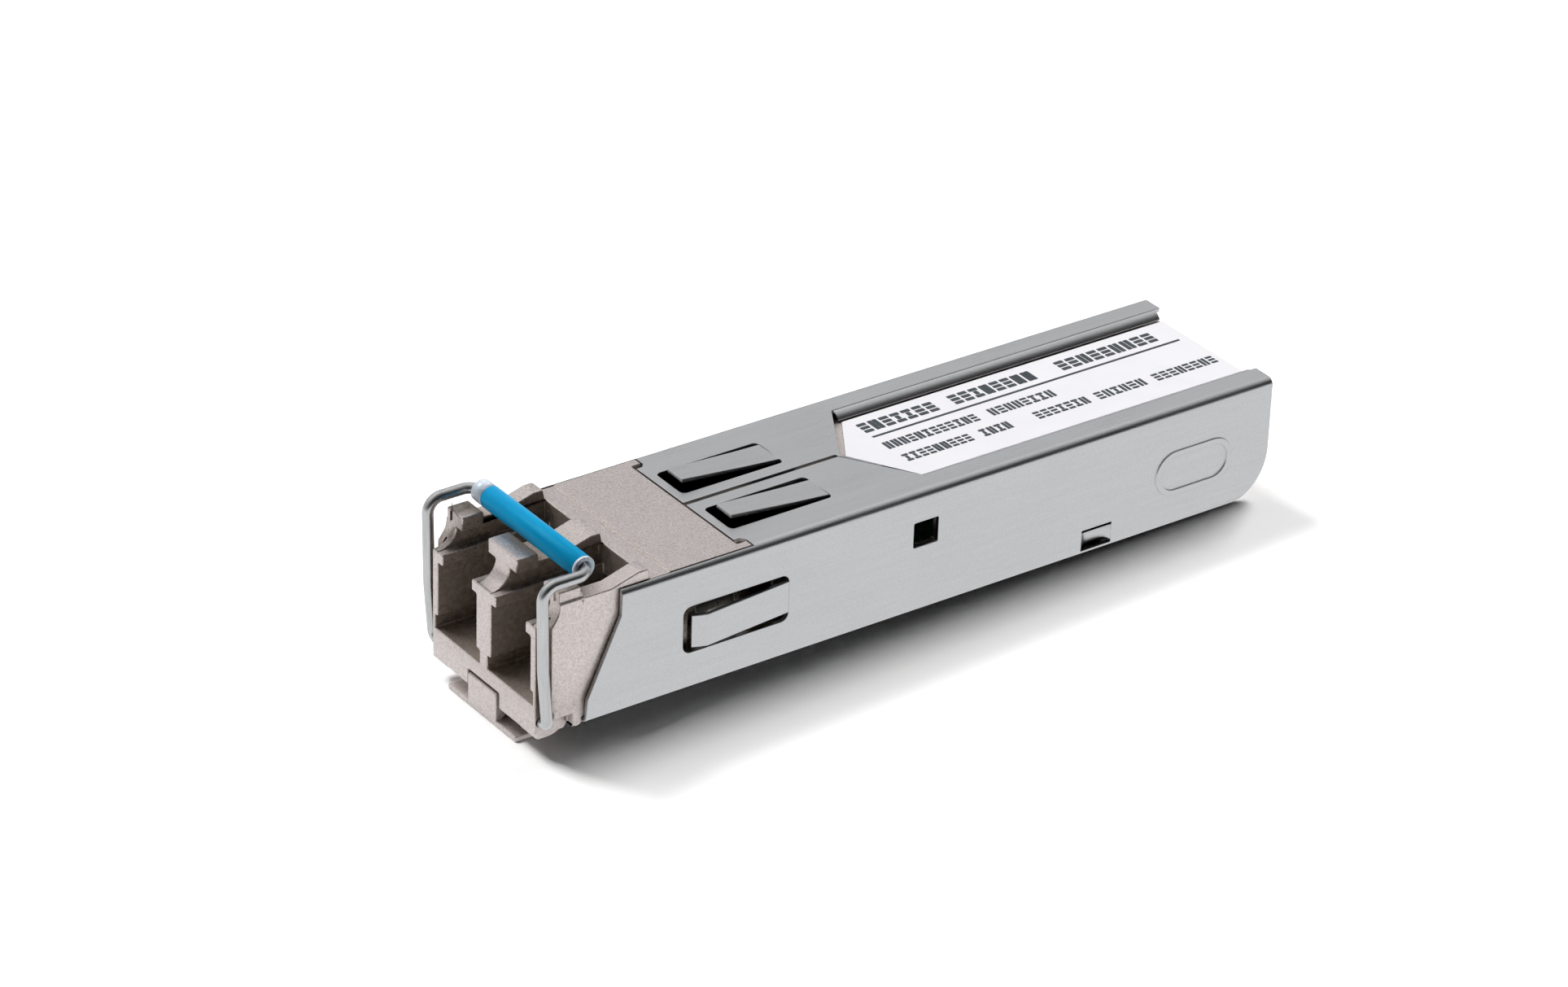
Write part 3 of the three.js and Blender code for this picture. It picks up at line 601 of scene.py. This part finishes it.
def roundedEnds(path, radius, steps=4, roll=0.35):
    # Adds a rounded-over rim at both ends of a path: returns the longer path and its radii.
    rim = radius * roll
    first = (path[1] - path[0]).normalized()
    last = (path[-1] - path[-2]).normalized()
    angles = [math.pi / 2 * i / steps for i in range(steps)]
    head = [(path[0] + first * rim * (1 - math.cos(a)), radius - rim * (1 - math.sin(a))) for a in angles]
    tail = [(path[-1] - last * rim * (1 - math.cos(a)), radius - rim * (1 - math.sin(a))) for a in angles]
    middle = [(path[0] + first * rim, radius)]
    middle += [(point, radius) for point in path[1:-1]]
    middle += [(path[-1] - last * rim, radius)]
    full = head + middle + list(reversed(tail))
    return [point for point, _ in full], [r for _, r in full]


def turnedRing(profile, centre, sides=48):
    # A closed profile of (along, radius) turned about a line along Y.
    build = bmesh.new()
    rings = []
    for along, radius in profile:
        ring = []
        for i in range(sides):
            angle = 2 * math.pi * i / sides
            offset = Vector((math.cos(angle) * radius, along, math.sin(angle) * radius))
            ring.append(build.verts.new(centre + offset * mm))
        rings.append(ring)
    for low, high in zip(rings, rings[1:] + rings[:1]):
        for i in range(sides):
            j = (i + 1) % sides
            build.faces.new((low[i], high[i], high[j], low[j]))
    bmesh.ops.recalc_face_normals(build, faces=build.faces)
    return toMesh("turned", build)


# bail: wire, sleeve and liner

bail = {
    "wireRadius": 0.37,
    "hingeRadius": 0.28,
    "hingeY": (4.4, 5.95),  # hinge end inside the cheek
    "hingeStub": 0.62,  # the wire's own turned-in end
    "kneeRise": 3.9,  # above the hinge
    "kneeX": 0.1,
    "footRadius": 0.5,
    "kneeRadius": 5.0,
    "topRadius": 0.95,
    "sleeveInner": 0.68,
    "sleeveLip": 0.04,  # rounding of the sleeve's ends
    "linerInner": 0.46,
    "linerLip": 0.06,
}


def buildBail(spec):
    wireLow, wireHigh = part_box("bail_wire")
    sleeveLow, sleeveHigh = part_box("bail_sleeve")
    linerLow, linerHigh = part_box("sleeve_liner")
    radius = spec["wireRadius"] * mm
    pivot = Vector(joints["bail_hinge"]["pos_m"])
    bar = (sleeveLow + sleeveHigh) / 2
    legX = wireLow.x + radius
    legY = wireHigh.y - radius
    half = [
        Vector((pivot.x, legY - spec["hingeStub"] * mm, pivot.z)),
        Vector((pivot.x, legY, pivot.z)),
        Vector((legX + spec["kneeX"] * mm, legY, pivot.z + spec["kneeRise"] * mm)),
        Vector((legX, legY, bar.z)),
        Vector((bar.x, legY, bar.z)),
    ]
    corners = half + [Vector((p.x, -p.y, p.z)) for p in reversed(half)]
    foot, knee, top = (spec[key] * mm for key in ("footRadius", "kneeRadius", "topRadius"))
    path = filletPath(corners, [foot, knee, top, top, top, top, knee, foot])
    build = bmesh.new()
    sweepRound(build, *roundedEnds(path, radius), 28)
    for side in (-1, 1):
        ends = [Vector((pivot.x, side * y * mm, pivot.z)) for y in spec["hingeY"]]
        sweepRound(build, *roundedEnds(ends, spec["hingeRadius"] * mm), 20)
    wire = placeMesh("bail_wire_round", toMesh("bail_wire", build), materials["wire"], "bail")
    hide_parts("bail_wire")

    centre = Vector((bar.x, 0.0, bar.z))
    outer, inner = (sleeveHigh.z - sleeveLow.z) / 2 / mm, spec["sleeveInner"]
    near, far = sleeveLow.y / mm, sleeveHigh.y / mm
    lip = spec["sleeveLip"]
    bend = 0.4 * lip
    profile = [(near, inner), (near, outer - lip), (near + bend, outer - bend), (near + lip, outer),
               (far - lip, outer), (far - bend, outer - bend), (far, outer - lip), (far, inner)]
    sleeve = placeMesh("bail_sleeve_tube", turnedRing(profile, centre), materials["blue"], "bail")
    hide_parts("bail_sleeve")

    # The clear liner shows past the blue at both ends, where it is as wide as the blue.
    core, hole, lip = spec["sleeveInner"] - 0.01, spec["linerInner"], spec["linerLip"]
    skin = outer - 0.01
    start, end = linerLow.y / mm, linerHigh.y / mm
    nearGap, farGap = near - 0.02, far + 0.02
    profile = [(start, hole + 0.04), (start, outer - lip), (start + 0.05, skin), (nearGap, skin),
               (nearGap, core), (farGap, core), (farGap, skin), (end - lip, skin),
               (end, outer - lip), (end, hole + 0.04), (end - lip, hole), (start + lip, hole)]
    liner = placeMesh("sleeve_liner_tube", turnedRing(profile, centre), materials["clear"], "bail")
    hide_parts("sleeve_liner")


buildBail(bail)
print("bail made")


# print on the label: plain blocks in place of letters

labelPrint = {
    "thickness": 0.012,
    "gap": 0.2,  # between neighbouring blocks, as a share of a block's width
    "rows": [  # y of the foot, block height and width, stroke, words as (start, end)
        {"foot": 2.12, "tall": 1.22, "wide": 0.86, "stroke": 0.33,
         "words": [(29.9, 35.9), (37.0, 43.7), (45.6, 53.6)]},
        {"foot": -0.35, "tall": 0.92, "wide": 0.62, "stroke": 0.22,
         "words": [(29.9, 37.2), (38.1, 43.3)]},
        {"foot": -2.25, "tall": 0.92, "wide": 0.62, "stroke": 0.22,
         "words": [(30.0, 35.3), (36.0, 38.4), (40.3, 44.6), (45.2, 49.2), (49.9, 55.0)]},
    ],
    "rule": {"span": (29.9, 54.6), "y": 1.48, "wide": 0.2, "corner": 0.03},
}


def addPatch(build, x, y, z, thickness, radius):
    # A thin pad with round corners, spanning x and y, standing on z.
    rounded = []
    centres = [(x[1] - radius, y[0] + radius, -90), (x[1] - radius, y[1] - radius, 0),
               (x[0] + radius, y[1] - radius, 90), (x[0] + radius, y[0] + radius, 180)]
    for cx, cy, start in centres:
        for step in range(4):
            angle = math.radians(start + 30 * step)
            rounded.append((cx + radius * math.cos(angle), cy + radius * math.sin(angle)))
    low = [build.verts.new(at(px, py, z)) for px, py in rounded]
    high = [build.verts.new(at(px, py, z + thickness)) for px, py in rounded]
    count = len(rounded)
    build.faces.new(list(reversed(low)))
    build.faces.new(high)
    for i in range(count):
        j = (i + 1) % count
        build.faces.new((low[i], low[j], high[j], high[i]))


def addBlock(build, x, y, z, thickness, stroke, style):
    # One generic print block: level strokes, upright strokes, or a level pair round an upright.
    middle = (y[0] + y[1]) / 2
    half = stroke / 2
    rows = {0: (y[0] + half, middle, y[1] - half), 1: (), 2: (y[0] + half, y[1] - half)}[style]
    columns = {0: (), 1: (x[0] + half, x[1] - half), 2: ((x[0] + x[1]) / 2,)}[style]
    radius = 0.2 * stroke
    for level in rows:
        addPatch(build, x, (level - half, level + half), z, thickness, radius)
    for upright in columns:
        inset = stroke * 1.15 if style == 2 else 0.0
        addPatch(build, (upright - half, upright + half), (y[0] + inset, y[1] - inset), z, thickness, radius)


def buildPrint(spec):
    rng = random.Random(4)
    top = (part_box("label")[1].z - datum.z) / mm
    build = bmesh.new()
    for row in spec["rows"]:
        for start, end in row["words"]:
            count = round((end - start) / row["wide"])
            pitch = (end - start) / count
            for i in range(count):
                left = start + pitch * i
                across = (left, left + pitch * (1 - spec["gap"]))
                tall = (row["foot"], row["foot"] + row["tall"])
                style = rng.choice((0, 0, 1, 2))
                addBlock(build, across, tall, top, spec["thickness"], row["stroke"], style)
    rule = spec["rule"]
    edges = (rule["y"] - rule["wide"] / 2, rule["y"] + rule["wide"] / 2)
    addPatch(build, rule["span"], edges, top, spec["thickness"], rule["corner"])
    piece = placeMesh("label_print", toMesh("label_print", build), materials["ink"], smooth=False)


buildPrint(labelPrint)
print("label printed")


# board: gold contacts, solder and chip leads

contacts = {
    "count": 10,
    "pitch": 0.8,
    "wide": 0.5,
    "start": 49.6,
    "long": (0, 1, 8),  # those that reach further in, and by how much
    "extra": 0.35,
    "setBack": 0.25,  # from the board's end
    "thickness": 0.03,
    "corner": 0.12,
}


def buildContacts(spec):
    low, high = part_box("circuit_board")
    rear = (high.x - datum.x) / mm - spec["setBack"]
    top = (high.z - datum.z) / mm
    under = (low.z - datum.z) / mm - spec["thickness"]
    build = bmesh.new()
    for level in (top, under):
        for i in range(spec["count"]):
            y = (i - (spec["count"] - 1) / 2) * spec["pitch"]
            start = spec["start"] - (spec["extra"] if i in spec["long"] else 0.0)
            wide = (y - spec["wide"] / 2, y + spec["wide"] / 2)
            addPatch(build, (start, rear), wide, level, spec["thickness"], spec["corner"])
    piece = placeMesh("edge_contacts", toMesh("edge_contacts", build), materials["gold"], smooth=False)


leads = {
    "counts": {"laser_driver_chip": 8, "receiver_amplifier_chip": 6, "controller_chip": 9},  # in each row
    "pitch": 0.5,
    "wide": 0.24,
    "reach": 0.5,  # of the foot, out from the chip
    "shoulder": 0.16,  # of the raised part beside the chip
    "tuck": 0.05,  # how far a lead goes in under the chip's edge
    "thick": 0.14,
    "cap": 0.22,  # length of a small part's end cap
    "skin": 0.02,
}


def buildSolder(spec):
    # Chip leads on the board and metal end caps on the small parts.
    build = bmesh.new()
    base = (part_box("circuit_board")[1].z - datum.z) / mm
    for name, count in spec["counts"].items():
        low, high = ((corner - datum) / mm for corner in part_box(name))
        for i in range(count):
            x = (low.x + high.x) / 2 + (i - (count - 1) / 2) * spec["pitch"]
            across = (x - spec["wide"] / 2, x + spec["wide"] / 2)
            for edge, way in ((low.y, -1), (high.y, 1)):
                inner = edge - spec["tuck"] * way
                foot = sorted((inner, edge + spec["reach"] * way))
                shoulder = sorted((inner, edge + spec["shoulder"] * way))
                addPatch(build, across, foot, base, spec["thick"], 0.05)
                addPatch(build, across, shoulder, base, 3 * spec["thick"], 0.04)
    for name in sorted(nodes):
        if name.startswith(("capacitor", "resistor")):
            low, high = ((corner - datum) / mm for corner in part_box(name))
            wide = (low.y - spec["skin"], high.y + spec["skin"])
            tall = high.z - base + spec["skin"]
            addPatch(build, (low.x - spec["skin"], low.x + spec["cap"]), wide, base, tall, 0.04)
            addPatch(build, (high.x - spec["cap"], high.x + spec["skin"]), wide, base, tall, 0.04)
    piece = placeMesh("solder_joints", toMesh("solder_joints", build), materials["solder"], smooth=False)


buildContacts(contacts)
buildSolder(leads)
print("contacts and solder made")


# stage: floor, world and lights

stageSetup = {
    "restFront": (-0.1, -1.78),  # pull lip's lower edge, x and z from the datum
    "restBack": (52.2, 0.0),  # where the cover's rear corner leaves the floor
    "size": 4.0,
    "colour": colour(0.94, 0.94, 0.945),
    "mirrored": colour(1.02, 1.02, 1.025),
}


def seenInMetal(tree):
    # 1 for a ray that a mirroring surface sends to the eye, 0 for one that lights a matt surface.
    path = addNode(tree, "LightPath").outputs
    direct = mathNode(tree, "LESS_THAN", path["Diffuse Depth"], 0.5)
    return mathNode(tree, "MULTIPLY", path["Is Glossy Ray"], direct)


def makeFloor(spec):
    frontX, frontZ = spec["restFront"]
    backX, backZ = spec["restBack"]
    slope = math.atan2(backZ - frontZ, backX - frontX)
    mesh = bpy.data.meshes.new("floor")
    half = spec["size"] / 2
    corners = [(-half, -half, 0), (half, -half, 0), (half, half, 0), (-half, half, 0)]
    mesh.from_pydata(corners, [], [(0, 1, 2, 3)])
    floor = bpy.data.objects.new("floor", mesh)
    bpy.context.scene.collection.objects.link(floor)
    floor.matrix_world = Matrix.Translation(at(frontX, 0, frontZ)) @ Matrix.Rotation(-slope, 4, "Y")
    material, tree, shader, _ = startMaterial("floor_paper", Roughness=0.95)
    shader.inputs["Base Color"].default_value = spec["colour"]
    shader.inputs["Specular IOR Level"].default_value = 0.1
    # Mirrored in the metal, the paper is one even tone: the overexposure and the shadow stay out of it.
    even = addNode(tree, "Emission")
    even.inputs["Color"].default_value = spec["mirrored"]
    mixed = addNode(tree, "MixShader", {0: seenInMetal(tree)})
    tree.links.new(shader.outputs[0], mixed.inputs[1])
    tree.links.new(even.outputs[0], mixed.inputs[2])
    output = next(node for node in tree.nodes if node.type == "OUTPUT_MATERIAL")
    tree.links.new(mixed.outputs[0], output.inputs["Surface"])
    mesh.materials.append(material)


worldSetup = {
    "low": colour(0.30, 0.30, 0.305),
    "high": colour(0.55, 0.55, 0.55),
    "span": (0.4, 1.0),  # height of the view direction, from the low to the high colour
    "frontDim": 0.06,  # share of the light left on the side towards -Y
    "frontSpan": (-0.6, 0.4),  # Y of the view direction over which it is dimmed
    "strength": 0.8,
    "mirrored": 2.0,  # strength as the metal mirrors it
}


def makeWorld(spec):
    # A studio that is bright overhead and at the back, and darker on the viewer's side.
    world = bpy.data.worlds.new("studio")
    world.use_nodes = True
    bpy.context.scene.world = world
    tree = world.node_tree
    background = tree.nodes["Background"]
    direction = addNode(tree, "TexCoord").outputs["Generated"]
    parts = addNode(tree, "SeparateXYZ", {0: direction})
    shade = blendColour(tree, ramp(tree, parts.outputs["Z"], *spec["span"]), spec["low"], spec["high"])
    dim = ramp(tree, parts.outputs["Y"], *spec["frontSpan"], spec["frontDim"], 1.0)
    shade = blendColour(tree, dim, colour(0.0, 0.0, 0.0), shade)
    tree.links.new(shade, background.inputs["Color"])
    strength = ramp(tree, seenInMetal(tree), 0.0, 1.0, spec["strength"], spec["mirrored"])
    tree.links.new(strength, background.inputs["Strength"])


softboxes = {
    "tint": (1.0, 0.995, 0.985),
    "elevation": 50.0,
    "distance": 1.2,  # m
    "height": 0.4,  # m
    "rows": [  # name, azimuth from the object, width m, watts on matt surfaces, watts that metal mirrors
        ("back", 106.0, 0.5, 17.0, 4.0),
        ("right", 18.0, 0.45, 13.0, 3.0),
    ],
}


def makeLights(spec):
    # Each softbox is a pair: one lights matt surfaces, a dimmer one is all that the metal mirrors.
    for mirrored in (False, True):
        for side, azimuth, width, mattWatts, mirroredWatts in spec["rows"]:
            name = side + ("_glint" if mirrored else "_softbox")
            data = bpy.data.lights.new(name, "AREA")
            data.shape = "RECTANGLE"
            data.size = width
            data.size_y = spec["height"]
            data.energy = mirroredWatts if mirrored else mattWatts
            data.color = spec["tint"]
            lamp = bpy.data.objects.new(name, data)
            lamp.visible_glossy, lamp.visible_diffuse = mirrored, not mirrored
            bpy.context.scene.collection.objects.link(lamp)
            a, e = math.radians(azimuth), math.radians(spec["elevation"])
            away = Vector((math.cos(a) * math.cos(e), math.sin(a) * math.cos(e), math.sin(e)))
            lamp.location = away * spec["distance"]
            lamp.rotation_euler = (-away).to_track_quat("-Z", "Y").to_euler()


makeFloor(stageSetup)
makeWorld(worldSetup)
makeLights(softboxes)
bpy.context.scene.view_settings.view_transform = "Standard"
bpy.context.scene.view_settings.exposure = 0.0
print("stage made")
